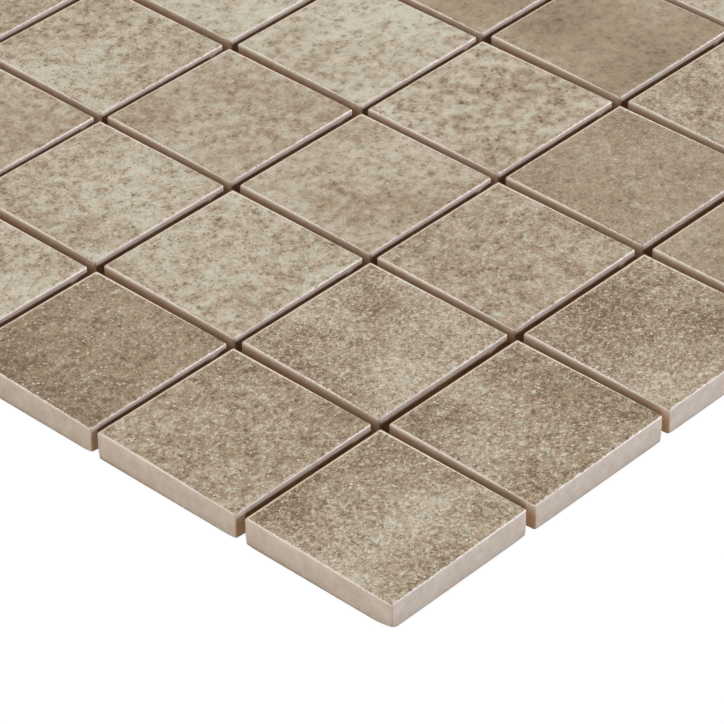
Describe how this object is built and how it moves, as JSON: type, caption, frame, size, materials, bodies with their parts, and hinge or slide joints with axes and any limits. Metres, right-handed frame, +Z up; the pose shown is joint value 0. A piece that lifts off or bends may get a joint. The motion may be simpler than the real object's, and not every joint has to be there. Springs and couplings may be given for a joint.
{
  "type": "mosaic tile sheet",
  "caption": "Square sheet of small stone-look porcelain tiles held on a common grid by glue dots at the back, laid as one piece in adhesive on a wall or floor and then grouted.",
  "frame": {"origin": "centre of the sheet's outline, on the plane it rests on, which is the underside of the glue dots", "axes": "+Z up through the sheet to the tiles' faces; +X and +Y along the rows and columns of tiles; the picture looks from the side of -X and -Y"},
  "size_m": [0.3026, 0.3025, 0.0084],
  "materials": {
    "porcelain": "matte",
    "glue": "satin"
  },
  "bodies": {
    "root": {"glue_dots_front_left": "glue", "glue_dots_front_right": "glue", "glue_dots_rear_left": "glue", "glue_dots_rear_right": "glue", "tile_column1_row1": "porcelain", "tile_column1_row2": "porcelain", "tile_column1_row3": "porcelain", "tile_column1_row4": "porcelain", "tile_column1_row5": "porcelain", "tile_column1_row6": "porcelain", "tile_column2_row1": "porcelain", "tile_column2_row2": "porcelain", "tile_column2_row3": "porcelain", "tile_column2_row4": "porcelain", "tile_column2_row5": "porcelain", "tile_column2_row6": "porcelain", "tile_column3_row1": "porcelain", "tile_column3_row2": "porcelain", "tile_column3_row3": "porcelain", "tile_column3_row4": "porcelain", "tile_column3_row5": "porcelain", "tile_column3_row6": "porcelain", "tile_column4_row1": "porcelain", "tile_column4_row2": "porcelain", "tile_column4_row3": "porcelain", "tile_column4_row4": "porcelain", "tile_column4_row5": "porcelain", "tile_column4_row6": "porcelain", "tile_column5_row1": "porcelain", "tile_column5_row2": "porcelain", "tile_column5_row3": "porcelain", "tile_column5_row4": "porcelain", "tile_column5_row5": "porcelain", "tile_column5_row6": "porcelain", "tile_column6_row1": "porcelain", "tile_column6_row2": "porcelain", "tile_column6_row3": "porcelain", "tile_column6_row4": "porcelain", "tile_column6_row5": "porcelain", "tile_column6_row6": "porcelain"}
  },
  "joints": []
}
